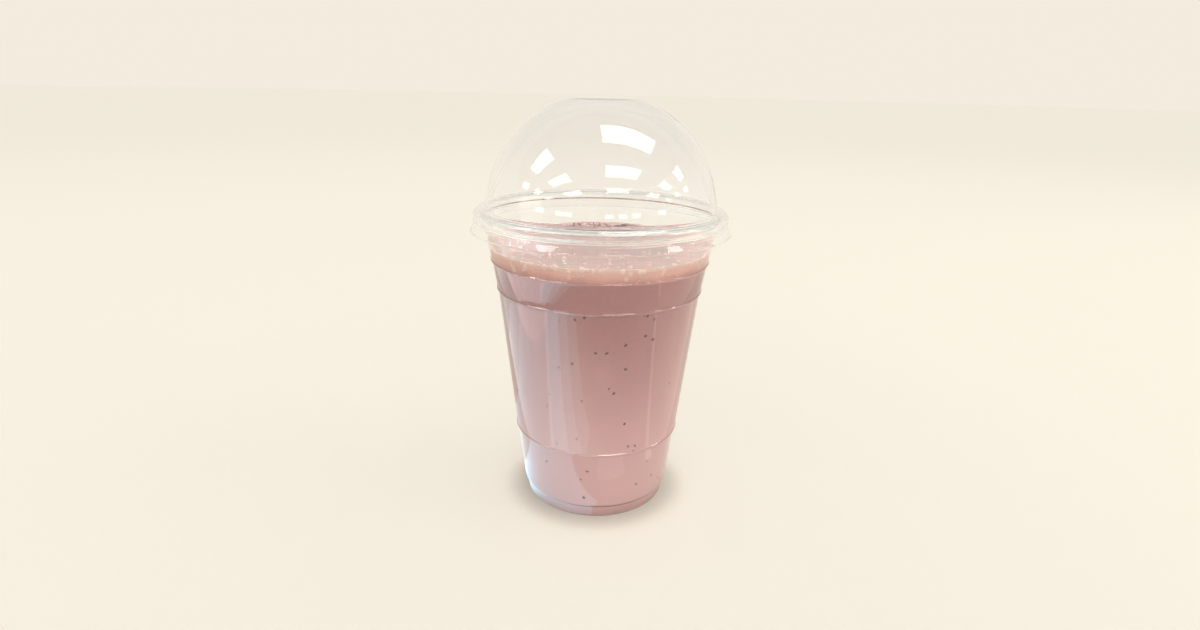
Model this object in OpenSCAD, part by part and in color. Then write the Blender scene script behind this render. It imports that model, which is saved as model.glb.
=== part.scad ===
// Strawberry smoothie in a clear thermoformed tumbler with a press-on dome lid.
// Every piece is a body of revolution about Z. The cup stands on Z = 0.

/* [Cup] */
// Height from the table to the top of the rolled lip
cup_h = 122.6; // [100:0.1:150]
// Outer diameter of the rolled lip
lip_d = 99; // [90:0.1:110]
// Outer diameter of the tube that the lip is rolled into
lip_roll = 3.6; // [3:0.1:4.4]
// How far round the lip is rolled, in degrees
lip_turn = 270; // [200:1:290]
// Thickness of the wall and floor
wall = 0.6; // [0.4:0.05:0.8]

/* [Ledges] */
// Lean of the wall above the second ledge, in degrees from upright
collar_lean = 9.1; // [4:0.1:12]
// Depth of the upper ledge below the lip's top
upper_ledge = 19.9; // [16:0.1:24]
// Depth of the second ledge below the lip's top
second_ledge = 31.6; // [27:0.1:40]
// Height of the lower ledge above the table
lower_ledge = 30.7; // [20:0.1:45]
// How far the upper and the second ledge stand out
ledge_out = 0.35; // [0.2:0.05:0.6]
// How far the lower ledge stands out
lower_ledge_out = 0.5; // [0.2:0.05:0.8]
// Height over which a ledge swells
ledge_rise = 1; // [0.6:0.1:2]
// How far a ledge's edge stands out past the wall above it
ledge_crest = 0.3; // [0:0.05:0.4]

/* [Foot] */
// Outer diameter of the foot ring
foot_d = 58.8; // [48:0.1:66]
// Height of the foot ring, up to the groove
foot_h = 4.9; // [4:0.1:8]
// How far the wall stands out over the foot ring
foot_step = 1.7; // [1.3:0.1:2.5]
// Radius of the wall's rounded lower end
foot_shoulder = 3.4; // [3:0.1:4]
// Radius of the edges that the foot ring stands on
heel_round = 1.3; // [1:0.1:1.5]
// Width of the foot ring
ring_w = 4.4; // [3.8:0.1:6]
// Height of the raised floor above the table
punt_h = 3.2; // [2.9:0.1:3.8]

/* [Lid] */
// Thickness of the lid's sheet
sheet = 0.5; // [0.35:0.05:0.7]
// Clearance between the lid and the rolled lip
lid_gap = 0.25; // [0.15:0.05:0.4]
// How far the dome's foot stands in from the middle of the rolled lip
flange_in = 2.5; // [2.2:0.1:6]
// Height of the dome above the lid's flange
dome_h = 41; // [30:0.1:50]
// Diameter at which the dome's curve meets the height of the crown
crown_d = 29; // [20:0.1:40]
// Radius of the bend between the dome and the flat crown
crown_round = 6; // [3:0.1:12]
// Radius of the fillet between the dome and the flange
dome_fillet = 0.9; // [0.7:0.05:1]
// Height of the skirt, from the flange's top to its lower edge
skirt_h = 8.4; // [7.6:0.1:12]
// How far the skirt's lower edge stands out past its shoulder
skirt_flare = 1.25; // [0.6:0.05:2]
// Depth of the bead under the lip
bead_in = 0.55; // [0.3:0.05:0.8]

/* [Drink] */
// Depth of the froth's top below the lip's top
headroom = 13.8; // [8:0.1:16]
// Thickness of the froth
froth_h = 5.8; // [3:0.1:8]
// Clearance between the drink and the cup
fill_gap = 0.1; // [0.1:0.05:0.3]

/* [Hidden] */
$fn = 128;

// Rolled lip: centre of the roll in the cross-section, and its outer radius.
roll_r = lip_roll / 2;
roll_c = [lip_d / 2 - roll_r, cup_h - roll_r];
roll_steps = 24;

// Foot: chamfer of the raised floor, lean of the ring's sides and height of the groove's turn.
punt_chamfer = 0.5;
ring_draft = 0.2;
groove_h = 0.3;

// Wall: outer radius and height at the ledges and at the foot's shoulder, and the height over
// which a ledge's crest falls back to the wall.
z_upper = cup_h - upper_ledge;
z_second = cup_h - second_ledge;
crest_fall = 0.5;
lean = tan(collar_lean);
r_mouth = roll_c.x - (roll_r - wall) * cos(collar_lean);
z_mouth = roll_c.y + (roll_r - wall) * sin(collar_lean);
r_upper = r_mouth - lean * (z_mouth - z_upper) - ledge_out;
r_second = r_upper - lean * (z_upper - z_second) - ledge_out;
foot_r = foot_d / 2;
shoulder_turn = 50;
shoulder_c = [foot_r + foot_step - foot_shoulder, foot_h + foot_shoulder * sin(shoulder_turn)];
body_lean = atan((r_second - lower_ledge_out - foot_r - foot_step) / (z_second - shoulder_c.y));
r_lower = shoulder_c.x + foot_shoulder * cos(body_lean)
        + tan(body_lean) * (lower_ledge - shoulder_c.y + foot_shoulder * sin(body_lean));

// Lid: the flange rests on the lip, and the shoulder is concentric with the roll.
seat_r = roll_r + lid_gap + sheet;
flange_z = roll_c.y + seat_r;
top_z = flange_z + dome_h;
dome_r = roll_c.x - flange_in;
collar_h = 0.9;
collar_z = flange_z + dome_fillet + collar_h;
// The dome is the sphere through the collar and the crown's edge, centred on the axis.
crown_edge = [crown_d / 2, top_z];
sphere_z = (crown_edge.x ^ 2 + crown_edge.y ^ 2 - dome_r ^ 2 - collar_z ^ 2)
         / (2 * (crown_edge.y - collar_z));
sphere_r = norm([dome_r, collar_z - sphere_z]);
bend_z = top_z - crown_round;
bend_c = [sqrt((sphere_r - crown_round) ^ 2 - (bend_z - sphere_z) ^ 2), bend_z];
bend_end = atan2(bend_z - sphere_z, bend_c.x);
dome_steps = 30;
skirt_z = flange_z - skirt_h;
skirt_r = roll_c.x + seat_r;
// Lower edge of the skirt: height and reach of its outward turn.
edge_h = 0.8;
edge_turn = 0.25;
// Bead: it closes in over twice bead_half, with its middle bead_drop below the roll.
bead_half = 0.8;
bead_drop = 0.7;
bead_z = roll_c.y - roll_r - bead_drop;

// Drink: heights of its top and of the join between froth and smoothie.
level_z = cup_h - headroom;
join_z = level_z - froth_h;

// Points on an arc about c, from angle a0 to a1.
function arc(c, r, a0, a1, steps) =
    [for (i = [0:steps]) let (a = a0 + (a1 - a0) * i / steps) c + r * [cos(a), sin(a)]];

function ease(t) = t * t * (3 - 2 * t);

// A ledge of the wall, going up from radius r. It swells out about height z, past the wall above
// it by crest, and falls back.
function ledge(r, z, out, crest) = concat(
    [for (i = [0:6]) let (t = i / 6)
        [r + (out + crest) * ease(t), z + (t - 0.5) * ledge_rise]],
    [for (i = [1:4]) let (t = i / 4)
        [r + out + crest * (1 - ease(t)), z + ledge_rise / 2 + crest_fall * t]]);

function unit(v) = v / norm(v);
function left(v) = [-v.y, v.x];

// A path moved sideways by d, to the left of its direction, with mitred corners.
function shifted(path, d) =
    let (last = len(path) - 1)
    [for (i = [0:last])
        let (a = left(unit(path[max(i, 1)] - path[max(i, 1) - 1])),
             b = left(unit(path[min(i, last - 1) + 1] - path[min(i, last - 1)])),
             n = unit(a + b))
        path[i] + n * d / (n * a)];

function reversed(path) = [for (i = [len(path) - 1:-1:0]) path[i]];

// Underside of the floor and the foot ring, from the axis outwards.
ring_r = foot_r - ring_w;
foot_path = concat(
    [[0, punt_h],
     [ring_r - punt_chamfer, punt_h],
     [ring_r, punt_h - punt_chamfer]],
    arc([ring_r + ring_draft + heel_round, heel_round], heel_round, 180, 270, 6),
    arc([foot_r - heel_round, heel_round], heel_round, 270, 360, 6),
    [[foot_r, foot_h - groove_h],
     [foot_r + ring_draft, foot_h]]);

// Outer face of the wall, from the groove over the foot to the lip, with ledges of a given crest.
function wall_path(crest) = concat(
    arc(shoulder_c, foot_shoulder, -shoulder_turn, -body_lean, 8),
    ledge(r_lower, lower_ledge, lower_ledge_out, crest),
    ledge(r_second, z_second, ledge_out, crest),
    ledge(r_upper, z_upper, ledge_out, crest));

// Face of the roll that continues the wall's outer face, and so lies inside the roll.
lip_path = arc(roll_c, roll_r - wall, 180 - collar_lean, 180 - lip_turn, roll_steps);

cup_path = concat(foot_path, wall_path(ledge_crest), lip_path);
// The crests stand out on the outer face alone, so the inner face follows a wall without them.
smooth_path = concat(foot_path, wall_path(0), lip_path);

// Outer face of the lid, from the axis down to the skirt's edge.
crown_path = concat([[0, top_z]], arc(bend_c, crown_round, 90, bend_end, 8));
dome_path = arc([0, sphere_z], sphere_r,
    bend_end - 1, atan2(collar_z - sphere_z, dome_r), dome_steps);
flange_path = arc([dome_r + dome_fillet, flange_z + dome_fillet], dome_fillet, 180, 270, 6);
shoulder_path = arc(roll_c, seat_r, 90, 0, 10);
bead_path = [for (i = [0:8])
    let (t = i / 8)
    [skirt_r - bead_in * (1 - cos(360 * t)) / 2, bead_z + bead_half * (1 - 2 * t)]];
flare_r = skirt_r + skirt_flare;
edge_path = [[flare_r - edge_turn, skirt_z + edge_h],
             [flare_r, skirt_z]];
lid_path = concat(crown_path, dome_path, flange_path, shoulder_path, bead_path, edge_path);

// The sheet between two paths, turned about the axis.
module spun_sheet(outer, inner) {
    rotate_extrude() polygon(concat(outer, reversed(inner)));
}

// Inner face of the cup, moved in by fill_gap: the outline of what fills it.
fill_path = shifted(concat(foot_path, wall_path(0), [lip_path[0]]), wall + fill_gap);

// What fills the cup between two heights.
module drink(low, high) {
    rotate_extrude() intersection() {
        polygon(concat(fill_path, [[0, fill_path[len(fill_path) - 1].y]]));
        translate([0, low]) square([lip_d / 2, high - low]);
    }
}

module cup() {
    color([0.93, 0.95, 0.95, 0.35]) spun_sheet(cup_path, shifted(smooth_path, wall));
}

module lid() {
    color([0.95, 0.97, 0.97, 0.3]) spun_sheet(lid_path, shifted(lid_path, -sheet));
}

module smoothie() {
    color([0.80, 0.58, 0.56]) drink(0, join_z);
}

module froth() {
    color([0.88, 0.70, 0.66]) drink(join_z, level_z);
}

cup();
lid();
smoothie();
froth();
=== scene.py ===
"""Looks of a strawberry smoothie in a clear tumbler with a dome lid.

Lengths of the part are in millimetres, and Outline, press_in and Scatter turn them into metres.
The finishes and the studio use metres, apart from the drink's bands of painted shade and the cards
on the table.
The cup stands on Z = 0, and the cup, lid, drink and froth are turned about the Z axis.
"""

from __future__ import annotations

import logging
import math
import random
from dataclasses import dataclass, field
from enum import Enum

import bmesh
import bpy
from mathutils import Matrix, Vector, noise

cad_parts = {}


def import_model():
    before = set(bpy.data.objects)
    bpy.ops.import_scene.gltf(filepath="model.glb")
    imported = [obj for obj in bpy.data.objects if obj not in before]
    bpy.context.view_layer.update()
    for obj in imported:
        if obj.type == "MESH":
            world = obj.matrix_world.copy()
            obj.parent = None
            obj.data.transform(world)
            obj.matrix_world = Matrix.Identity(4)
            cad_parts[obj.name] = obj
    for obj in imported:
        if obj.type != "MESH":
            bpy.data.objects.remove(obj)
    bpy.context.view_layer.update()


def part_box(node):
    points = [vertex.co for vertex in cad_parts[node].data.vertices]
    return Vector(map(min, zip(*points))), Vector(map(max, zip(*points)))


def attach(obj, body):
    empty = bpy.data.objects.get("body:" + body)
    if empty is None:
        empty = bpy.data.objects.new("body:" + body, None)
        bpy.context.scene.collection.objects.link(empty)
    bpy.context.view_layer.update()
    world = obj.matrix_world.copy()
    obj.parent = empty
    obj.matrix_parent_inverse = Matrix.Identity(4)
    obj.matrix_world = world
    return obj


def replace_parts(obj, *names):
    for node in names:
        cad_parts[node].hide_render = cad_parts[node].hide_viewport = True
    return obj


MM = 0.001
BODY = "root"
ROUND = 256
LOG = logging.getLogger("smoothie")

Colour = tuple[float, float, float]


class Slot(Enum):
    """Material slots of the record."""

    CUP = "cup_clear"
    LID = "lid_clear"
    SMOOTHIE = "smoothie"
    FROTH = "froth"


def smoothstep(t: float) -> float:
    """Ease from 0 to 1 with a level start and end."""
    return t * t * (3 - 2 * t)


# --- Shaping ---------------------------------------------------------------------------------


class Outline:
    """A wire in the plane Y = 0 that grows from its tip and is then spun about Z."""

    def __init__(self, r: float, z: float) -> None:
        """Start the wire.

        Args:
            r: distance from the axis.
            z: height.
        """
        self.bm = bmesh.new()
        self.tip = self.bm.verts.new((r * MM, 0, z * MM))

    def line(self, r: float, z: float) -> Outline:
        """Extrude the tip in a straight line.

        Args:
            r: distance of the new tip from the axis.
            z: height of the new tip.

        Returns:
            The same outline, so that calls can follow one another.
        """
        made = bmesh.ops.extrude_vert_indiv(self.bm, verts=[self.tip])
        self.tip = made["verts"][0]
        self.tip.co = (r * MM, 0, z * MM)
        return self

    def arc(self, centre: tuple[float, float], degrees: float, steps: int) -> Outline:
        """Spin the tip about a centre in the outline's plane.

        Args:
            centre: distance from the axis and height of the centre.
            degrees: turn, anticlockwise with the radius to the right and Z up.
            steps: number of edges.

        Returns:
            The same outline.
        """
        made = bmesh.ops.spin(
            self.bm,
            geom=[self.tip],
            cent=(centre[0] * MM, 0, centre[1] * MM),
            axis=(0, -1, 0),
            angle=math.radians(degrees),
            steps=steps,
            use_duplicate=False,
        )
        self.tip = next(e for e in made["geom_last"] if isinstance(e, bmesh.types.BMVert))
        return self

    def step(self, r: tuple[float, float], z: tuple[float, float], steps: int) -> Outline:
        """Add a smooth step, parallel to the axis at both ends.

        Args:
            r: radius at its start and its end.
            z: height at its start and its end.
            steps: number of edges.

        Returns:
            The same outline.
        """
        for i in range(1, steps + 1):
            t = i / steps
            self.line(r[0] + (r[1] - r[0]) * smoothstep(t), z[0] + (z[1] - z[0]) * t)
        return self

    def spun(self, facing: Vector) -> bmesh.types.BMesh:
        """Spin the outline into a surface that starts at the axis.

        Args:
            facing: the direction that the face on the axis where the outline starts looks in.

        Returns:
            The surface, with its doubles merged and its faces turned to match.
        """
        bm = self.bm
        start = bm.verts[:][0].co.copy()
        bmesh.ops.spin(
            bm,
            geom=bm.verts[:] + bm.edges[:],
            cent=(0, 0, 0),
            axis=(0, 0, 1),
            angle=math.tau,
            steps=ROUND,
            use_merge=True,
        )
        bmesh.ops.remove_doubles(bm, verts=bm.verts[:], dist=1e-3 * MM)
        bmesh.ops.recalc_face_normals(bm, faces=bm.faces[:])
        first = min(bm.faces, key=lambda f: (f.calc_center_median() - start).length)
        if first.normal.dot(facing) < 0:
            bmesh.ops.reverse_faces(bm, faces=bm.faces[:])
        return bm


def make_piece(name: str, bm: bmesh.types.BMesh, material: bpy.types.Material,
               sharp: float = 50.0) -> bpy.types.Object:
    """Turn a bmesh into a smooth-shaded piece that rides on the part's body.

    Args:
        name: name of the piece.
        bm: its shape in metres, freed here.
        material: its finish.
        sharp: edges that turn by more degrees than this stay sharp.

    Returns:
        The new object.
    """
    mesh = bpy.data.meshes.new(name)
    bm.to_mesh(mesh)
    bm.free()
    mesh.shade_smooth()
    mesh.set_sharp_from_angle(angle=math.radians(sharp))
    mesh.materials.append(material)
    piece = bpy.data.objects.new(name, mesh)
    bpy.context.scene.collection.objects.link(piece)
    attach(piece, BODY)
    return piece


def round_edges(piece: bpy.types.Object, edge: float) -> None:
    """Round the rims of a thin wall.

    Args:
        piece: the wall.
        edge: radius of the bevel along the rims.
    """
    rim = piece.modifiers.new("Rim", "BEVEL")
    rim.width = edge * MM
    rim.segments = 2
    rim.limit_method = "ANGLE"
    rim.angle_limit = math.radians(55)


def press_in(bm: bmesh.types.BMesh, depth: float) -> None:
    """Move a surface back behind its faces by an even depth.

    Args:
        bm: the surface.
        depth: how far it moves.
    """
    bm.normal_update()
    moves = [(v, v.normal * depth * MM * v.calc_shell_factor()) for v in bm.verts]
    for vert, move in moves:
        vert.co -= move


def close_wall(outer: bmesh.types.BMesh, inner: bmesh.types.BMesh) -> None:
    """Join a wall's inner face to its outer face along their rims.

    Args:
        outer: the outer face, which becomes the closed wall.
        inner: the inner face, which looks the same way as the outer one and is freed here.
    """
    bmesh.ops.reverse_faces(inner, faces=inner.faces[:])
    mesh = bpy.data.meshes.new("inner_face")
    inner.to_mesh(mesh)
    inner.free()
    outer.from_mesh(mesh)
    bpy.data.meshes.remove(mesh)
    bmesh.ops.bridge_loops(outer, edges=[e for e in outer.edges if e.is_boundary])


class Scatter:
    """Many small rounded grains joined into one mesh, batch by batch."""

    BATCH = 48

    def __init__(self, roundness: int) -> None:
        """Start empty.

        Args:
            roundness: subdivisions of each grain, 1 for specks and 2 for what shows its shape.
        """
        self.bm = bmesh.new()
        self.batch = bmesh.new()
        self.waiting = 0
        self.roundness = roundness

    def add(self, place: Vector, size: tuple[float, float, float], facing: Vector,
            turn: float) -> None:
        """Add one grain.

        Args:
            place: its centre.
            size: its half lengths along its own axes, the last one along its facing.
            facing: the direction that its flat side looks in.
            turn: its turn about that direction, in radians.
        """
        matrix = (
            Matrix.Translation(place * MM)
            @ facing.to_track_quat("Z", "Y").to_matrix().to_4x4()
            @ Matrix.Rotation(turn, 4, "Z")
            @ Matrix.Diagonal((size[0] * MM, size[1] * MM, size[2] * MM, 1))
        )
        bmesh.ops.create_icosphere(self.batch, subdivisions=self.roundness, radius=1,
                                   matrix=matrix)
        self.waiting += 1
        if self.waiting == self.BATCH:
            self.flush()

    def flush(self) -> None:
        """Move the waiting grains into the mesh, as one large mesh is slow to add to."""
        mesh = bpy.data.meshes.new("grains")
        self.batch.to_mesh(mesh)
        self.batch.clear()
        self.bm.from_mesh(mesh)
        bpy.data.meshes.remove(mesh)
        self.waiting = 0

    def joined(self) -> bmesh.types.BMesh:
        """Give the finished mesh.

        Returns:
            The mesh.
        """
        self.flush()
        self.batch.free()
        return self.bm


# --- Finishes --------------------------------------------------------------------------------


class Tree:
    """A material's node tree, built by short calls."""

    def __init__(self, name: str) -> None:
        """Make an empty material.

        Args:
            name: of the material.
        """
        self.material = bpy.data.materials.new(name)
        self.material.use_nodes = True
        self.nodes = self.material.node_tree.nodes
        self.links = self.material.node_tree.links
        self.nodes.clear()
        self.output = self.nodes.new("ShaderNodeOutputMaterial")

    def add(self, kind: str, inputs: dict[str, object] | None = None,
            **settings: object) -> bpy.types.Node:
        """Add a node.

        Args:
            kind: node type without its ShaderNode prefix.
            inputs: values or output sockets for the named inputs.
            **settings: properties of the node.

        Returns:
            The node.
        """
        node = self.nodes.new("ShaderNode" + kind)
        for key, value in settings.items():
            setattr(node, key, value)
        for key, value in (inputs or {}).items():
            if isinstance(value, bpy.types.NodeSocket):
                self.links.new(value, node.inputs[key])
            else:
                node.inputs[key].default_value = value
        return node

    def position(self) -> bpy.types.NodeSocket:
        """Give the point on the piece, in metres."""
        return self.add("TexCoord").outputs["Object"]

    def noise(self, scale: float, detail: float = 3.0,
              stretch: tuple[float, float, float] = (1, 1, 1)) -> bpy.types.NodeSocket:
        """Give a soft random value from 0 to 1.

        Args:
            scale: how many bumps there are in a metre.
            detail: how many finer layers there are.
            stretch: factors on the position along each axis.

        Returns:
            The value's socket.
        """
        place = self.add("Mapping", {"Vector": self.position(), "Scale": stretch})
        made = self.add("TexNoise", {"Vector": place.outputs[0], "Scale": scale, "Detail": detail})
        return made.outputs["Fac"]

    def cells(self, scale: float) -> bpy.types.NodeSocket:
        """Give the distance to the nearest of many scattered points.

        Args:
            scale: how many points there are in a metre.

        Returns:
            The value's socket.
        """
        made = self.add("TexVoronoi", {"Vector": self.position(), "Scale": scale})
        return made.outputs["Distance"]

    def height(self) -> bpy.types.NodeSocket:
        """Give the height of the point on the piece, in metres."""
        return self.add("SeparateXYZ", {"Vector": self.position()}).outputs["Z"]

    def fit(self, value: bpy.types.NodeSocket, low: float, high: float,
            to_low: float = 0.0, to_high: float = 1.0) -> bpy.types.NodeSocket:
        """Map a value's range smoothly onto another.

        Args:
            value: the value.
            low: where the new range starts.
            high: where it ends.
            to_low: result at low.
            to_high: result at high.

        Returns:
            The mapped value's socket.
        """
        made = self.add(
            "MapRange",
            {"Value": value, "From Min": low, "From Max": high,
             "To Min": to_low, "To Max": to_high},
            interpolation_type="SMOOTHSTEP",
        )
        return made.outputs["Result"]

    def math(self, kind: str, a: object, b: object) -> bpy.types.NodeSocket:
        """Combine two values.

        Args:
            kind: operation, as the Math node names it.
            a: first value or socket.
            b: second value or socket.

        Returns:
            The result's socket.
        """
        node = self.add("Math", operation=kind)
        for i, value in enumerate((a, b)):
            if isinstance(value, bpy.types.NodeSocket):
                self.links.new(value, node.inputs[i])
            else:
                node.inputs[i].default_value = value
        return node.outputs[0]

    def blend(self, share: bpy.types.NodeSocket, a: object, b: object) -> bpy.types.NodeSocket:
        """Mix two colours.

        Args:
            share: how much of b there is, from 0 to 1.
            a: colour or socket.
            b: colour or socket.

        Returns:
            The mixed colour's socket.
        """
        node = self.add("Mix", data_type="RGBA")
        self.links.new(share, node.inputs["Factor"])
        for key, value in (("A", a), ("B", b)):
            port = next(s for s in node.inputs if s.name == key and s.type == "RGBA")
            if isinstance(value, bpy.types.NodeSocket):
                self.links.new(value, port)
            else:
                port.default_value = (*value, 1)
        return next(s for s in node.outputs if s.type == "RGBA")

    def bump(self, height: bpy.types.NodeSocket, distance: float) -> bpy.types.NodeSocket:
        """Turn a height into a bumped normal.

        Args:
            height: value from 0 to 1.
            distance: what a height of 1 stands for, in metres.

        Returns:
            The normal's socket.
        """
        made = self.add("Bump", {"Height": height, "Distance": distance, "Strength": 1.0})
        return made.outputs["Normal"]

    def finish(self, shader: bpy.types.NodeSocket) -> bpy.types.Material:
        """Connect the shader to the output.

        Args:
            shader: the surface's shader socket.

        Returns:
            The finished material.
        """
        self.links.new(shader, self.output.inputs["Surface"])
        return self.material


@dataclass(frozen=True)
class ClearSheet:
    """Clear formed plastic, which bends the sight of what is behind it and lets lamps through."""

    name: str
    tint: Colour = (0.985, 0.99, 0.985)
    roughness: float = 0.02
    ior: float = 1.57
    wave: float = 0.00004
    wave_scale: float = 40.0

    def material(self) -> bpy.types.Material:
        """Build the material.

        Returns:
            The material.
        """
        tree = Tree(self.name)
        wave = tree.noise(self.wave_scale, 2.0, (1, 1, 0.35))
        glass = tree.add("BsdfPrincipled", {
            "Base Color": (*self.tint, 1),
            "Roughness": self.roughness,
            "IOR": self.ior,
            "Transmission Weight": 1.0,
            "Normal": tree.bump(wave, self.wave),
        })
        open_air = tree.add("BsdfTransparent", {"Color": (*self.tint, 1)})
        mixed = tree.add("MixShader", {"Fac": tree.add("LightPath").outputs["Is Shadow Ray"]})
        tree.links.new(glass.outputs[0], mixed.inputs[1])
        tree.links.new(open_air.outputs[0], mixed.inputs[2])
        return tree.finish(mixed.outputs[0])


@dataclass(frozen=True)
class BlendedFruit:
    """Opaque blended drink with faint pulp streaks, darker towards the top as painted shade under
    the lid.
    """

    name: str
    deep: Colour
    pale: Colour
    high_z: float
    low_z: float
    shade_bands: tuple[tuple[float, float, float], ...]
    drift: float = 0.007
    grain_share: float = 0.12
    shade_band_tone: float = 0.35
    streak_scale: float = 38.0
    grain_scale: float = 900.0
    grain_depth: float = 0.00002

    def material(self) -> bpy.types.Material:
        """Build the material.

        Returns:
            The material.
        """
        tree = Tree(self.name)
        height = tree.height()
        streaks = tree.noise(self.streak_scale, 4.0, (1, 1, 0.4))
        grain = tree.noise(self.grain_scale, 2.0)
        # Painted shade: by height, wobbled by the streaks, the colour goes from pale low down to
        # deep at the top, under the lid.
        drift = tree.math("MULTIPLY", tree.fit(streaks, 0.3, 0.7, -1.0, 1.0), self.drift)
        rise = tree.fit(tree.math("ADD", height, drift), self.low_z, self.high_z)
        colour = tree.blend(rise, self.pale, self.deep)
        speckle = tree.fit(grain, 0.35, 0.8, 0.0, self.grain_share)
        colour = tree.blend(speckle, colour, self.pale)
        # Painted shade: dark bands at given heights, where the foot and the ledges would shade the
        # drink.
        shade_band_colour = tuple(c * self.shade_band_tone for c in self.deep)
        for z, half, share in self.shade_bands:
            away = tree.math("ABSOLUTE", tree.math("SUBTRACT", height, z * MM), 0.0)
            shade = tree.fit(away, 0.0, half * MM, share, 0.0)
            colour = tree.blend(shade, colour, shade_band_colour)
        surface = tree.add("BsdfPrincipled", {
            "Base Color": colour,
            "Roughness": 0.45,
            "IOR": 1.36,
            "Specular IOR Level": 0.08,
            "Subsurface Weight": 0.12,
            "Subsurface Radius": (0.004, 0.002, 0.0015),
            "Subsurface Scale": 1.0,
            "Normal": tree.bump(grain, self.grain_depth),
        })
        return tree.finish(surface.outputs[0])


@dataclass(frozen=True)
class Foam:
    """Froth of fine bubbles, peach where it meets the wall and mauve on top.

    The wall's colour fades to the deep one down to join_z and to the rim's up to level_z.
    """

    name: str
    wall_colour: Colour
    deep: Colour
    rim_colour: Colour
    top_colour: Colour
    light: Colour
    join_z: float
    level_z: float
    uneven: float = 0.003
    low_fade: float = 0.0052
    high_fade: tuple[float, float] = (-0.0022, 0.0012)
    bubble_depth: float = 0.00018
    bubble_scale: float = 1500.0
    uneven_scale: float = 160.0
    blotch_scale: float = 170.0
    blotch_share: float = 0.9

    def material(self) -> bpy.types.Material:
        """Build the material.

        Returns:
            The material.
        """
        tree = Tree(self.name)
        wander = tree.math("MULTIPLY", tree.noise(self.uneven_scale), self.uneven)
        height = tree.math("ADD", tree.height(), wander)
        low = tree.fit(height, self.join_z, self.join_z + self.low_fade)
        high = tree.fit(height, *(self.level_z + fade for fade in self.high_fade))
        up = tree.add("NewGeometry").outputs["Normal"]
        level = tree.add("SeparateXYZ", {"Vector": up}).outputs["Z"]
        side = tree.blend(low, self.deep, self.wall_colour)
        side = tree.blend(high, side, self.rim_colour)
        patches = tree.noise(self.blotch_scale, 4.0)
        blotch = tree.fit(patches, 0.5, 0.62, 0.0, self.blotch_share)
        top = tree.blend(blotch, self.top_colour, self.light)
        colour = tree.blend(tree.fit(level, 0.3, 0.9), side, top)
        cells = tree.cells(self.bubble_scale)
        surface = tree.add("BsdfPrincipled", {
            "Base Color": colour,
            "Roughness": 0.35,
            "IOR": 1.36,
            "Specular IOR Level": 0.06,
            "Subsurface Weight": 0.15,
            "Subsurface Radius": (0.003, 0.002, 0.0015),
            "Subsurface Scale": 1.0,
            "Normal": tree.bump(tree.fit(cells, 0.0, 0.7), self.bubble_depth),
        })
        return tree.finish(surface.outputs[0])


@dataclass(frozen=True)
class Grain:
    """Small wet grain, such as a seed or a speck of skin."""

    name: str
    dark: Colour
    light: Colour
    roughness: float = 0.35
    tone_scale: float = 1400.0
    pit_depth: float = 0.00003

    def material(self) -> bpy.types.Material:
        """Build the material.

        Returns:
            The material.
        """
        tree = Tree(self.name)
        tone = tree.noise(self.tone_scale, 2.0)
        surface = tree.add("BsdfPrincipled", {
            "Base Color": tree.blend(tree.fit(tone, 0.3, 0.7), self.dark, self.light),
            "Roughness": self.roughness,
            "IOR": 1.45,
            "Normal": tree.bump(tone, self.pit_depth),
        })
        return tree.finish(surface.outputs[0])


@dataclass(frozen=True)
class LitPaper:
    """Matt paper that glows, dimmest close round the middle as a painted contact shadow for the
    cup.
    """

    name: str
    paper: Colour
    painted_shadow_glows: tuple[Colour, ...]
    reach: tuple[float, ...]

    def material(self) -> bpy.types.Material:
        """Build the material, whose glow goes from each colour to the next over each reach.

        Returns:
            The material.
        """
        tree = Tree(self.name)
        away = tree.add("VectorMath", {0: tree.position()}, operation="LENGTH").outputs["Value"]
        glow: object = self.painted_shadow_glows[0]
        # The glow is dimmest close to the middle, a painted contact shadow round the cup's foot.
        for start, end, colour in zip(self.reach, self.reach[1:], self.painted_shadow_glows[1:]):
            glow = tree.blend(tree.fit(away, start, end), glow, colour)
        surface = tree.add("BsdfPrincipled", {
            "Base Color": (*self.paper, 1),
            "Roughness": 0.9,
            "Specular IOR Level": 0.1,
            "Emission Color": glow,
            "Emission Strength": 1.0,
        })
        return tree.finish(surface.outputs[0])


# --- The part --------------------------------------------------------------------------------


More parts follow.
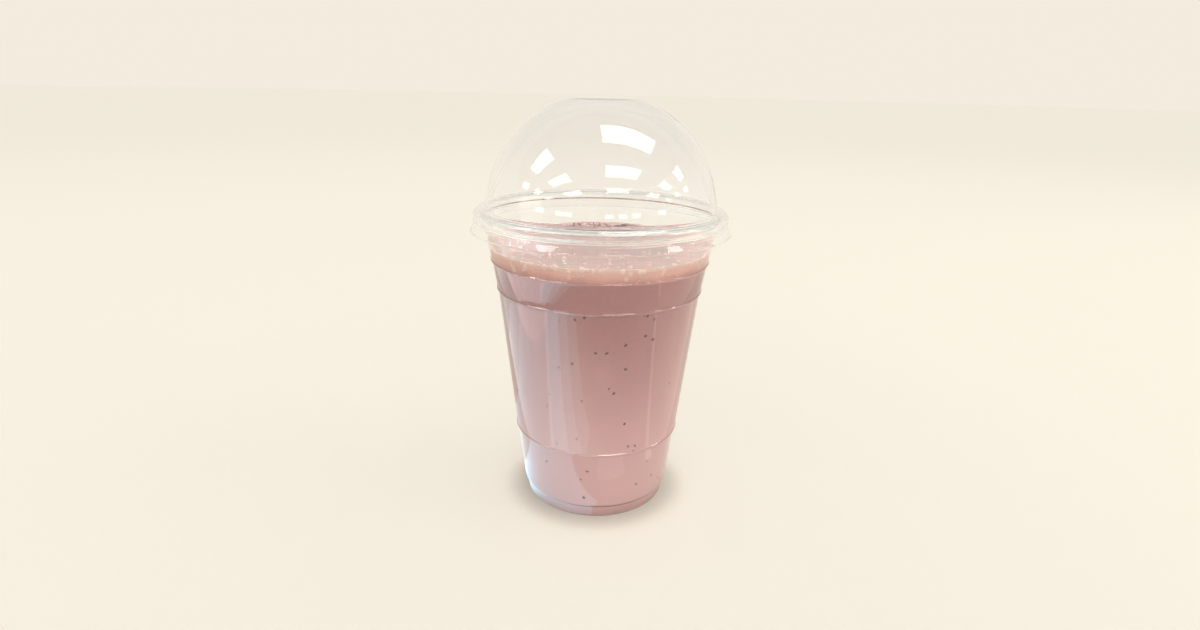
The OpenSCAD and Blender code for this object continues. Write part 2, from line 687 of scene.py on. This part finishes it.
@dataclass
class Cup:
    """Tapered tumbler with three ledges, a foot ring and a rolled lip.

    Its shade bands, painted shade in the drink behind the wall at the base, under the foot's
    shoulder and under the two lower ledges, are heights with the half height of the dark band and
    the share of the dark colour.
    """

    height: float
    lip_r: float
    wall: float = 0.6
    roll_r: float = 1.8
    lip_turn: float = 270.0
    lean: float = 9.1
    upper_ledge: float = 19.9
    second_ledge: float = 31.6
    lower_ledge: float = 30.7
    ledge_out: float = 0.35
    lower_ledge_out: float = 0.5
    ledge_rise: float = 1.0
    ledge_crest: float = 0.3
    crest_fall: float = 0.5
    foot_r: float = 29.4
    foot_h: float = 4.9
    foot_step: float = 1.7
    shoulder: float = 3.4
    shoulder_turn: float = 50.0
    heel: float = 1.3
    ring_w: float = 4.4
    punt: float = 3.2
    punt_chamfer: float = 0.5
    ring_draft: float = 0.2
    groove: float = 0.3
    shade_band_drop: float = 0.3
    finish: ClearSheet = field(default_factory=lambda: ClearSheet("clear_cup", roughness=0.04))

    def __post_init__(self) -> None:
        """Work out the wall's radii from the lip down to the foot."""
        inner = self.roll_r - self.wall
        turn = math.radians(self.lean)
        self.roll_centre = (self.lip_r - self.roll_r, self.height - self.roll_r)
        self.slope = math.tan(turn)
        self.mouth = (self.roll_centre[0] - inner * math.cos(turn),
                      self.roll_centre[1] + inner * math.sin(turn))
        self.z_upper = self.height - self.upper_ledge
        self.z_second = self.height - self.second_ledge
        self.r_upper = self.mouth[0] - self.slope * (self.mouth[1] - self.z_upper) - self.ledge_out
        self.r_second = (self.r_upper - self.slope * (self.z_upper - self.z_second)
                         - self.ledge_out)
        self.shoulder_centre = (
            self.foot_r + self.foot_step - self.shoulder,
            self.foot_h + self.shoulder * math.sin(math.radians(self.shoulder_turn)),
        )
        run = self.r_second - self.lower_ledge_out - self.foot_r - self.foot_step
        self.body_lean = math.atan(run / (self.z_second - self.shoulder_centre[1]))
        tilt = self.body_lean
        self.r_lower = (
            self.shoulder_centre[0] + self.shoulder * math.cos(tilt)
            + math.tan(tilt)
            * (self.lower_ledge - self.shoulder_centre[1] + self.shoulder * math.sin(tilt))
        )
        # Painted shade: dark bands in the drink at the base, under the foot's shoulder and just
        # under the two lower ledges.
        self.shade_bands = (
            (0.0, 4.5, 0.3),
            (self.foot_h + self.wall, 0.9, 0.8),
            (self.lower_ledge - self.shade_band_drop, 0.7, 0.3),
            (self.z_second - self.shade_band_drop, 0.7, 0.3),
        )

    def ledge(self, line: Outline, r: float, z: float, out: float, crest: float) -> None:
        """Draw a ledge, which swells out past the wall above it and falls back.

        Args:
            line: the outline to go on.
            r: radius below the ledge.
            z: height of the swell's middle.
            out: how far the wall above stands out.
            crest: how far the ledge stands out past the wall above.
        """
        low, high = z - self.ledge_rise / 2, z + self.ledge_rise / 2
        line.line(r, low)
        line.step((r, r + out + crest), (low, high), 8)
        line.step((r + out + crest, r + out), (high, high + self.crest_fall), 6)

    def outline(self, crest: float) -> Outline:
        """Draw the outer face of floor, foot and wall, from the axis up to the lip.

        Args:
            crest: how far the ledges stand out past the wall above them.

        Returns:
            The outline.
        """
        ring = self.foot_r - self.ring_w
        turn = math.radians(self.shoulder_turn)
        line = Outline(0, self.punt)
        line.line(ring - self.punt_chamfer, self.punt).line(ring, self.punt - self.punt_chamfer)
        line.line(ring + self.ring_draft, self.heel)
        line.arc((ring + self.ring_draft + self.heel, self.heel), 90, 6)
        line.line(self.foot_r - self.heel, 0)
        line.arc((self.foot_r - self.heel, self.heel), 90, 6)
        line.line(self.foot_r, self.foot_h - self.groove)
        line.line(self.foot_r + self.ring_draft, self.foot_h)
        line.line(self.shoulder_centre[0] + self.shoulder * math.cos(turn), self.foot_h)
        line.arc(self.shoulder_centre, self.shoulder_turn - math.degrees(self.body_lean), 10)
        self.ledge(line, self.r_lower, self.lower_ledge, self.lower_ledge_out, crest)
        self.ledge(line, self.r_second, self.z_second, self.ledge_out, crest)
        self.ledge(line, self.r_upper, self.z_upper, self.ledge_out, crest)
        return line.line(*self.mouth)

    def face(self, z: float) -> tuple[float, float]:
        """Give the outer face's radius and its lean between the ledges.

        Args:
            z: height, above the shoulder of the foot.

        Returns:
            The radius, and the lean in radians.
        """
        lean = math.radians(self.lean)
        if z > self.z_upper:
            return self.mouth[0] - self.slope * (self.mouth[1] - z), lean
        if z > self.z_second:
            return self.r_upper - self.slope * (self.z_upper - z), lean
        rise = math.tan(self.body_lean)
        if z > self.lower_ledge:
            return self.r_second - rise * (self.z_second - z), self.body_lean
        return self.r_lower - rise * (self.lower_ledge - z), self.body_lean

    def spot(self, angle: float, z: float, depth: float) -> tuple[Vector, Vector]:
        """Find a point on or behind the outer face.

        Args:
            angle: round the axis in radians, 0 in front and growing to the right.
            z: height.
            depth: how far behind the outer face it lies.

        Returns:
            The point and the face's outward direction.
        """
        r, lean = self.face(z)
        out = Vector((math.sin(angle), -math.cos(angle), 0))
        facing = out * math.cos(lean) - Vector((0, 0, math.sin(lean)))
        return out * r + Vector((0, 0, z)) - facing * depth, facing

    def inner_radius(self, z: float) -> float:
        """Give the radius of the inner face above the upper ledge.

        Args:
            z: height.

        Returns:
            The radius at that height.
        """
        return self.face(z)[0] - self.wall / math.cos(math.radians(self.lean))

    def filling(self, reach: float) -> bmesh.types.BMesh:
        """Make the surface of what fills the cup.

        Args:
            reach: how far it goes into the wall.

        Returns:
            The surface up to the mouth, facing outwards.
        """
        bm = self.outline(0).spun(Vector((0, 0, -1)))
        press_in(bm, self.wall - reach)
        return bm

    def shell(self, crest: float) -> bmesh.types.BMesh:
        """Make the outer face with its rolled lip.

        Args:
            crest: how far the ledges stand out past the wall above them.

        Returns:
            The face, open at the roll's end.
        """
        line = self.outline(crest).arc(self.roll_centre, -self.lip_turn + self.lean, 28)
        return line.spun(Vector((0, 0, -1)))

    def build(self) -> list[bpy.types.Object]:
        """Make the cup with its rolled lip.

        Returns:
            The one piece.
        """
        wall = self.shell(self.ledge_crest)
        inner = self.shell(0)
        press_in(inner, self.wall)
        close_wall(wall, inner)
        piece = make_piece("cup_shell", wall, self.finish.material())
        round_edges(piece, 0.12)
        return [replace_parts(piece, "cup")]


@dataclass
class Lid:
    """Dome with a flat crown, a flange on the lip and a beaded skirt around it."""

    cup: Cup
    top: float
    sheet: float = 0.5
    gap: float = 0.25
    flange_in: float = 2.5
    crown_r: float = 14.5
    crown_round: float = 6.0
    fillet: float = 0.9
    collar: float = 0.9
    skirt_h: float = 8.4
    flare: float = 1.25
    bead: float = 0.55
    bead_half: float = 0.8
    bead_drop: float = 0.7
    edge_h: float = 0.8
    edge_turn: float = 0.25
    bead_steps: int = 10
    finish: ClearSheet = field(
        default_factory=lambda: ClearSheet("clear_lid", tint=(0.99, 0.992, 1.0), roughness=0.004,
                                   ior=1.3))

    def outline(self) -> Outline:
        """Draw the outer face, from the crown's middle down to the skirt's edge.

        Returns:
            The outline.
        """
        mid, roll_z = self.cup.roll_centre
        seat = self.cup.roll_r + self.gap + self.sheet
        flange_z = roll_z + seat
        foot = (mid - self.flange_in, flange_z + self.fillet + self.collar)
        span = self.top - foot[1]
        square = self.crown_r**2 + self.top**2 - foot[0] ** 2 - foot[1] ** 2
        sphere_z = square / (2 * span)
        sphere_r = math.hypot(foot[0], foot[1] - sphere_z)
        bend_z = self.top - self.crown_round
        bend_r = math.sqrt((sphere_r - self.crown_round) ** 2 - (bend_z - sphere_z) ** 2)
        bend_end = math.degrees(math.atan2(bend_z - sphere_z, bend_r))
        dome_end = math.degrees(math.atan2(foot[1] - sphere_z, foot[0]))
        line = Outline(0, self.top).line(bend_r / 2, self.top).line(bend_r, self.top)
        line.arc((bend_r, bend_z), bend_end - 90, 10)
        line.arc((0, sphere_z), dome_end - bend_end, 40)
        line.line(foot[0], flange_z + self.fillet)
        line.arc((foot[0] + self.fillet, flange_z + self.fillet), 90, 6)
        line.line(mid, flange_z)
        line.arc((mid, roll_z), -90, 12)
        skirt = mid + seat
        bead_z = roll_z - self.cup.roll_r - self.bead_drop
        for i in range(self.bead_steps + 1):
            t = i / self.bead_steps
            inward = self.bead * (1 - math.cos(math.tau * t)) / 2
            line.line(skirt - inward, bead_z + self.bead_half * (1 - 2 * t))
        edge_z = flange_z - self.skirt_h
        line.line(skirt + self.flare - self.edge_turn, edge_z + self.edge_h)
        return line.line(skirt + self.flare, edge_z)

    def build(self) -> list[bpy.types.Object]:
        """Make the lid.

        Returns:
            The one piece.
        """
        piece = make_piece("lid_shell", self.outline().spun(Vector((0, 0, 1))),
                           self.finish.material())
        solid = piece.modifiers.new("Wall", "SOLIDIFY")
        solid.thickness = self.sheet * MM
        solid.offset = -1
        solid.use_even_offset = True
        round_edges(piece, 0.1)
        return [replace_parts(piece, "lid")]


@dataclass
class Drink:
    """The blended drink below the froth, and the seeds that show through the wall.

    The noted seeds are pairs of an angle in degrees from the front and a height.
    """

    cup: Cup
    join_z: float
    reach: float = 0.15
    low_z: float = 9.0
    seeds: int = 34
    sunk_seeds: int = 60
    noted: tuple[tuple[float, float], ...] = (
        (-12, 89), (-7, 90), (-1, 76), (5, 76), (31, 80), (26, 82), (16, 69), (10, 59), (18, 45),
        (26, 90), (-8, 10), (-14, 71), (15, 79),
    )
    rng: random.Random = field(default_factory=lambda: random.Random(7))

    def fill(self) -> bpy.types.Object:
        """Make the drink up to the froth.

        Returns:
            The piece.
        """
        bm = self.cup.filling(self.reach)
        cut = bmesh.ops.bisect_plane(
            bm,
            geom=bm.verts[:] + bm.edges[:] + bm.faces[:],
            plane_co=(0, 0, self.join_z * MM),
            plane_no=(0, 0, 1),
            clear_outer=True,
        )
        rim = [e for e in cut["geom_cut"] if isinstance(e, bmesh.types.BMEdge)]
        bmesh.ops.edgeloop_fill(bm, edges=rim)
        bmesh.ops.recalc_face_normals(bm, faces=bm.faces[:])
        # The drink's colour is a painted shading gradient, pale low down and deep at the top under
        # the lid.
        finish = BlendedFruit(
            "blended_strawberry", deep=(0.455, 0.235, 0.225), pale=(0.72, 0.475, 0.455),
            # The dark bands are painted shade at the base, under the foot's shoulder and under the
            # lower ledges.
            high_z=self.join_z * MM, low_z=0.022, shade_bands=self.cup.shade_bands,
        )
        piece = make_piece("smoothie_fill", bm, finish.material())
        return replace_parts(piece, "smoothie")

    def seed(self, grains: Scatter, angle: float, z: float, size: float) -> None:
        """Press one seed flat against the wall.

        Args:
            grains: the mesh to add it to.
            angle: round the axis in radians, 0 in front.
            z: height.
            size: half its length.
        """
        place, facing = self.cup.spot(angle, z, self.cup.wall - self.reach)
        shape = (size, size * self.rng.uniform(0.6, 0.8), 0.22)
        grains.add(place, shape, facing, self.rng.uniform(0, math.pi))

    def dark_seeds(self) -> bpy.types.Object:
        """Make the seeds that lie at the wall.

        Returns:
            The piece.
        """
        grains = Scatter(2)
        for angle, z in self.noted:
            self.seed(grains, math.radians(angle), z, self.rng.uniform(0.65, 0.85))
        for _ in range(self.seeds):
            angle = self.rng.uniform(math.radians(50), math.radians(310))
            z = self.rng.uniform(self.low_z, self.join_z)
            self.seed(grains, angle, z, self.rng.uniform(0.5, 0.8))
        finish = Grain("seed", dark=(0.09, 0.035, 0.035), light=(0.20, 0.09, 0.08))
        return make_piece("seeds", grains.joined(), finish.material())

    def faint_seeds(self) -> bpy.types.Object:
        """Make the seeds that a thin layer of the drink covers.

        Returns:
            The piece.
        """
        grains = Scatter(2)
        for _ in range(self.sunk_seeds):
            angle = self.rng.uniform(0, math.tau)
            z = self.rng.uniform(self.low_z, self.join_z)
            self.seed(grains, angle, z, self.rng.uniform(0.45, 0.75))
        finish = Grain("coated_seed", dark=(0.24, 0.11, 0.10), light=(0.36, 0.19, 0.17))
        return make_piece("coated_seeds", grains.joined(), finish.material())

    def build(self) -> list[bpy.types.Object]:
        """Make the drink and its seeds."""
        return [self.fill(), self.dark_seeds(), self.faint_seeds()]


@dataclass
class Froth:
    """The froth on the drink, with the specks and bubbles on it."""

    cup: Cup
    join_z: float
    level_z: float
    reach: float = 0.15
    side_steps: int = 6
    rings: int = 60
    ring_crowding: float = 0.85
    relief: float = 0.55
    lump_scale: float = 0.16
    ripple_scale: float = 0.42
    ripple_share: float = 0.5
    calm_rim: float = 4.0
    meniscus: float = 0.7
    meniscus_w: float = 0.9
    specks: int = 330
    patch: tuple[float, float] = (2.0, 36.0)
    patch_r: tuple[float, float] = (40.0, 14.0)
    patch_scale: float = 0.13
    bubbles: int = 420
    rim_bubbles: int = 150
    rng: random.Random = field(default_factory=lambda: random.Random(11))

    def surface_z(self, x: float, y: float) -> float:
        """Give the height of the froth's top.

        Args:
            x: place to the right of the axis.
            y: place behind the axis.

        Returns:
            The height there.
        """
        rim = self.cup.inner_radius(self.level_z)
        r = math.hypot(x, y)
        ripple = noise.noise(Vector((x, y, 7)) * self.ripple_scale)
        lump = noise.noise(Vector((x, y, 0)) * self.lump_scale) + self.ripple_share * ripple
        calm = 1 - smoothstep(min(1.0, max(0.0, (r - rim + self.calm_rim) / self.calm_rim)))
        climb = self.meniscus * math.exp((r - rim) / self.meniscus_w)
        return min(self.level_z - self.meniscus + self.relief * lump * calm + climb, self.level_z)

    def layer(self) -> bpy.types.Object:
        """Make the froth with its uneven top.

        Returns:
            The piece.
        """
        rim = self.cup.inner_radius(self.level_z) + self.reach
        low = self.cup.inner_radius(self.join_z) + self.reach
        line = Outline(0, self.join_z).line(low, self.join_z)
        for i in range(1, self.side_steps + 1):
            t = i / self.side_steps
            line.line(low + (rim - low) * t, self.join_z + (self.level_z - self.join_z) * t)
        for i in range(1, self.rings + 1):
            line.line(rim * (1 - (i / self.rings) ** self.ring_crowding), self.level_z)
        bm = line.spun(Vector((0, 0, -1)))
        top = [v for v in bm.verts if v.co.z > (self.level_z - 0.01) * MM]
        for vert in top:
            vert.co.z = self.surface_z(vert.co.x / MM, vert.co.y / MM) * MM
        finish = Foam(
            "froth", wall_colour=(0.82, 0.50, 0.42), deep=(0.54, 0.27, 0.24),
            rim_colour=(0.74, 0.53, 0.45), top_colour=(0.48, 0.31, 0.28), light=(0.42, 0.325, 0.28),
            join_z=self.join_z * MM, level_z=self.level_z * MM,
        )
        piece = make_piece("froth_layer", bm, finish.material())
        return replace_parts(piece, "froth")

    def scattered(self) -> Vector:
        """Draw a random place on the top, in millimetres.

        Returns:
            The place.
        """
        r = (self.cup.inner_radius(self.level_z) - 1.2) * math.sqrt(self.rng.random())
        angle = self.rng.uniform(0, math.tau)
        x, y = r * math.cos(angle), r * math.sin(angle)
        return Vector((x, y, self.surface_z(x, y)))

    def dark_specks(self) -> bpy.types.Object:
        """Strew specks of skin and seed in patches over the top.

        Returns:
            The piece.
        """
        grains = Scatter(1)
        up = Vector((0, 0, 1))
        left = self.specks
        while left:
            place = self.scattered()
            away = math.hypot((place.x - self.patch[0]) / self.patch_r[0],
                              (place.y - self.patch[1]) / self.patch_r[1])
            patchy = noise.noise(Vector((place.x, place.y, 3)) * self.patch_scale)
            if away - patchy > self.rng.uniform(0.2, 1.2):
                continue
            size = self.rng.uniform(0.3, 0.65)
            shape = (size, size * self.rng.uniform(0.5, 0.9), self.rng.uniform(0.3, 0.5))
            grains.add(place, shape, up, self.rng.uniform(0, math.pi))
            left -= 1
        finish = Grain("speck", dark=(0.02, 0.01, 0.012), light=(0.12, 0.055, 0.06))
        return make_piece("specks", grains.joined(), finish.material())

    def top_bubbles(self) -> bpy.types.Object:
        """Set bubbles on the top and along the line where the froth meets the wall.

        Returns:
            The piece.
        """
        grains = Scatter(2)
        up = Vector((0, 0, 1))
        for _ in range(self.bubbles):
            place = self.scattered()
            size = self.rng.uniform(0.3, 0.3 + 0.7 * self.rng.random())
            grains.add(place, (size, size, size * 0.7), up, 0)
        for _ in range(self.rim_bubbles):
            angle = self.rng.uniform(0, math.tau)
            size = 0.35 + 1.0 * self.rng.random() ** 2
            z = self.level_z - 0.4 - 4.0 * self.rng.random() ** 2
            place, facing = self.cup.spot(angle, z, self.cup.wall - self.reach)
            grains.add(place, (size, size, 0.2), facing, 0)
        finish = Foam(
            "bubble", wall_colour=(0.88, 0.63, 0.55), deep=(0.80, 0.52, 0.45),
            rim_colour=(0.84, 0.64, 0.56), top_colour=(0.55, 0.38, 0.34), light=(0.60, 0.48, 0.43),
            join_z=self.join_z * MM, level_z=self.level_z * MM,
        )
        return make_piece("bubbles", grains.joined(), finish.material())

    def build(self) -> list[bpy.types.Object]:
        """Make the froth, its specks and its bubbles."""
        return [self.layer(), self.dark_specks(), self.top_bubbles()]


# --- The studio ------------------------------------------------------------------------------


@dataclass(frozen=True)
class Card:
    """Glowing card that lies on the table and shows as a mirrored patch on the cup.

    It runs along its heading, in degrees, from its corner, and its width is measured to the left.
    """

    name: str
    corner: tuple[float, float]
    heading: float
    run: tuple[float, float]
    width: tuple[float, float]
    colour: Colour


# Corner and heading of the cards at the left, at the right and in front.
LEFT = ((-20, -50), -157)
RIGHT = ((40, -18), -29)
FRONT = ((13, -45), -76)


@dataclass
class Studio:
    """Lit table, rows of ceiling panels, window panes, mirrored cards and the camera."""

    # The table's first glow, close round the cup's foot, is a painted contact shadow.
    floor: LitPaper = LitPaper(
        "pale_table", paper=(0.70, 0.67, 0.60),
        painted_shadow_glows=((0.14, 0.13, 0.11), (0.42, 0.395, 0.345), (0.455, 0.42, 0.36), (0.395, 0.37, 0.32)),
        reach=(0.0295, 0.043, 0.35, 2.5),
    )
    table_r: float = 12.0
    table_sides: int = 96
    horizon: Colour = (0.90, 0.84, 0.73)
    zenith: Colour = (0.62, 0.62, 0.60)
    sky_fade: tuple[float, float] = (0.12, 0.6)
    lamp_colour: Colour = (0.97, 0.99, 1.0)
    panel_size: tuple[float, float] = (1.5, 0.7)
    panel_height: float = 2.0
    panel_glow: float = 16.0
    panel_turn: float = 6.0
    panel_origin: tuple[float, float] = (0.73, -0.09)
    panel_pitch: tuple[float, float] = (3.15, 1.65)
    pane_angles: tuple[float, ...] = (-59, -39, -31, 8, 21, 34, 60)
    pane_distance: float = 3.0
    pane_z: float = 0.38
    pane_aim_z: float = 0.12
    pane_size: tuple[float, float] = (0.42, 0.2)
    pane_glow: float = 16.0
    fill_place: tuple[float, float, float] = (1.6, -0.2, 0.5)
    fill_aim: tuple[float, float, float] = (0.0, 0.0, 0.06)
    fill_size: tuple[float, float] = (0.9, 1.0)
    fill_glow: float = 1.2
    fill_colour: Colour = (1.0, 0.93, 0.84)
    bounces: int = 36
    camera_place: tuple[float, float, float] = (0.0006, -0.2772, 0.1693)
    camera_pitch: float = 18.24
    camera_roll: float = 1.27
    lens: float = 21.0
    card_z: float = 0.5
    card_gap: float = 0.1
    cards: tuple[Card, ...] = (
        Card("card_left", *LEFT, (50, 300), (-135, 30), (1.2, 1.7, 2.0)),
        Card("card_left_far", *LEFT, (125, 300), (-200, 0), (1.3, 0.7, 0.7)),
        Card("card_left_edge", *LEFT, (50, 300), (-200, -135), (1.0, 1.3, 1.5)),
        Card("card_left_rim", *LEFT, (50, 300), (-320, -200), (0.5, 0.65, 0.75)),
        Card("card_left_low", *LEFT, (-25, 50), (-130, -2), (0.3, 0.5, 0.65)),
        Card("card_left_near", *LEFT, (-25, 50), (-62, -2), (0.4, 0.9, 1.2)),
        Card("card_left_soft", *LEFT, (25, 260), (-12, 30), (0.4, 0.9, 1.1)),
        Card("card_left_softer", *LEFT, (25, 260), (30, 52), (1.1, 1.6, 1.8)),
        Card("card_left_softest", *LEFT, (25, 260), (52, 72), (0.5, 0.8, 0.9)),
        Card("strip_left", *LEFT, (40, 200), (-16, -6), (0.8, 0.6, 0.6)),
        Card("card_right", *RIGHT, (30, 300), (0, 220), (0.5, 0.35, 0.26)),
        Card("strip_right", *RIGHT, (8, 200), (-4, 5), (0.9, 0.8, 0.7)),
        Card("strip_front", *FRONT, (0, 62), (-12, 14), (0.5, 0.45, 0.45)),
    )

    def table(self) -> bpy.types.Object:
        """Make the round table top that reaches to the horizon.

        Returns:
            The table.
        """
        bm = bmesh.new()
        bmesh.ops.create_circle(bm, cap_ends=True, segments=self.table_sides,
                                 radius=self.table_r)
        mesh = bpy.data.meshes.new("table")
        bm.to_mesh(mesh)
        bm.free()
        mesh.materials.append(self.floor.material())
        table = bpy.data.objects.new("table", mesh)
        bpy.context.scene.collection.objects.link(table)
        return table

    def area(self, name: str, place: Vector, aim: Vector, size: tuple[float, float],
             glow: float, colour: Colour, turn: float = 0.0) -> bpy.types.Object:
        """Add a rectangular lamp of a given brightness.

        Args:
            name: of the lamp.
            place: its middle.
            aim: the point that it faces.
            size: its width and length.
            glow: its radiance.
            colour: its colour.
            turn: degrees that it is turned about its own axis.

        Returns:
            The lamp.
        """
        data = bpy.data.lights.new(name, "AREA")
        data.shape = "RECTANGLE"
        data.size, data.size_y = size
        data.energy = glow * math.pi * size[0] * size[1]
        data.color = colour
        lamp = bpy.data.objects.new(name, data)
        way = (aim - place).to_track_quat("-Z", "Y").to_matrix().to_4x4()
        lamp.matrix_world = (Matrix.Translation(place) @ way
                             @ Matrix.Rotation(math.radians(turn), 4, "Z"))
        bpy.context.scene.collection.objects.link(lamp)
        return lamp

    def ceiling(self) -> None:
        """Hang rows of panels over the table."""
        turn = Matrix.Rotation(math.radians(self.panel_turn), 3, "Z")
        for column in range(-2, 3):
            for row in range(3):
                step = turn @ Vector((column * self.panel_pitch[0], -row * self.panel_pitch[1], 0))
                place = Vector((*self.panel_origin, self.panel_height)) + step
                lamp = self.area(f"ceiling_panel_{column + 2}_{row}", place,
                                 place - Vector((0, 0, 1)), self.panel_size, self.panel_glow,
                                 self.lamp_colour, self.panel_turn)
                self.mirrored_only(lamp)

    def panes(self) -> None:
        """Stand a row of window panes far behind the camera."""
        for i, degrees in enumerate(self.pane_angles):
            angle = math.radians(degrees)
            place = Vector((math.sin(angle) * self.pane_distance,
                            -math.cos(angle) * self.pane_distance, self.pane_z))
            lamp = self.area(f"pane_{i}", place, Vector((0, 0, self.pane_aim_z)), self.pane_size,
                             self.pane_glow, self.lamp_colour)
            self.mirrored_only(lamp)

    def lay_cards(self) -> None:
        """Lay the cards on the table, each a little above the last so that both show."""
        for i, card in enumerate(self.cards):
            heading = math.radians(card.heading)
            along = Vector((math.cos(heading), math.sin(heading), 0))
            across = Vector((-along.y, along.x, 0))
            corner = Vector((*card.corner, self.card_z + i * self.card_gap))
            middle = (corner + along * sum(card.run) / 2 + across * sum(card.width) / 2) * MM
            size = ((card.run[1] - card.run[0]) * MM, (card.width[1] - card.width[0]) * MM)
            lamp = self.area(card.name, middle, middle + Vector((0, 0, 1)), size, 1.0, card.colour)
            lamp.matrix_world = (
                Matrix.Translation(middle) @ Matrix.Rotation(heading, 4, "Z")
                @ Matrix.Rotation(math.pi, 4, "X")
            )
            self.mirrored_only(lamp)

    @staticmethod
    def mirrored_only(lamp: bpy.types.Object) -> None:
        """Hide a lamp from the camera, from matt surfaces and from sight through plastic.

        Args:
            lamp: the lamp.
        """
        lamp.visible_camera = False
        lamp.visible_diffuse = False
        lamp.visible_transmission = False

    def fills(self) -> None:
        """Add a warm fill on the right, which doesn't mirror."""
        lamp = self.area("fill_right", Vector(self.fill_place), Vector(self.fill_aim),
                         self.fill_size, self.fill_glow, self.fill_colour)
        lamp.visible_glossy = False
        lamp.visible_camera = False

    def world(self) -> None:
        """Light everything softly from all round, most from low down."""
        world = bpy.data.worlds.new("soft_studio")
        world.use_nodes = True
        nodes, links = world.node_tree.nodes, world.node_tree.links
        split = nodes.new("ShaderNodeSeparateXYZ")
        links.new(nodes.new("ShaderNodeTexCoord").outputs["Generated"], split.inputs[0])
        fit = nodes.new("ShaderNodeMapRange")
        fit.interpolation_type = "SMOOTHSTEP"
        fit.inputs["From Min"].default_value = self.sky_fade[0]
        fit.inputs["From Max"].default_value = self.sky_fade[1]
        links.new(split.outputs["Z"], fit.inputs["Value"])
        mix = nodes.new("ShaderNodeMix")
        mix.data_type = "RGBA"
        links.new(fit.outputs["Result"], mix.inputs["Factor"])
        for key, colour in (("A", self.horizon), ("B", self.zenith)):
            port = next(s for s in mix.inputs if s.name == key and s.type == "RGBA")
            port.default_value = (*colour, 1)
        sky = next(s for s in mix.outputs if s.type == "RGBA")
        links.new(sky, nodes["Background"].inputs["Color"])
        bpy.context.scene.world = world

    def camera(self) -> bpy.types.Object:
        """Set up the camera, just above the lid's crown and close to the cup.

        Returns:
            The camera.
        """
        data = bpy.data.cameras.new("camera")
        data.sensor_width = 36
        data.lens = self.lens
        data.clip_start = 0.01
        camera = bpy.data.objects.new("camera", data)
        camera.matrix_world = (
            Matrix.Translation(self.camera_place)
            @ Matrix.Rotation(math.radians(90 - self.camera_pitch), 4, "X")
            @ Matrix.Rotation(math.radians(self.camera_roll), 4, "Z")
        )
        bpy.context.scene.collection.objects.link(camera)
        bpy.context.scene.camera = camera
        return camera

    def build(self) -> None:
        """Make the whole studio."""
        self.table()
        self.ceiling()
        self.panes()
        self.lay_cards()
        self.fills()
        self.world()
        self.camera()
        scene = bpy.context.scene
        scene.view_settings.view_transform = "Standard"
        scene.cycles.max_bounces = self.bounces
        scene.cycles.transmission_bounces = self.bounces
        scene.cycles.glossy_bounces = self.bounces


def main() -> None:
    """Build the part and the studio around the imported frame."""
    logging.basicConfig(level=logging.INFO, format="%(message)s")
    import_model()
    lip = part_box("cup")[1] / MM
    lid_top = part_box("lid")[1].z / MM
    join_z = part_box("froth")[0].z / MM
    level_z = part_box("froth")[1].z / MM
    cup = Cup(height=lip.z, lip_r=lip.x)
    for builder in (
        cup,
        Lid(cup=cup, top=lid_top),
        Drink(cup=cup, join_z=join_z),
        Froth(cup=cup, join_z=join_z, level_z=level_z),
    ):
        for piece in builder.build():
            LOG.info("%s: %d faces", piece.name, len(piece.data.polygons))
    Studio().build()


if __name__ == "__main__":
    main()
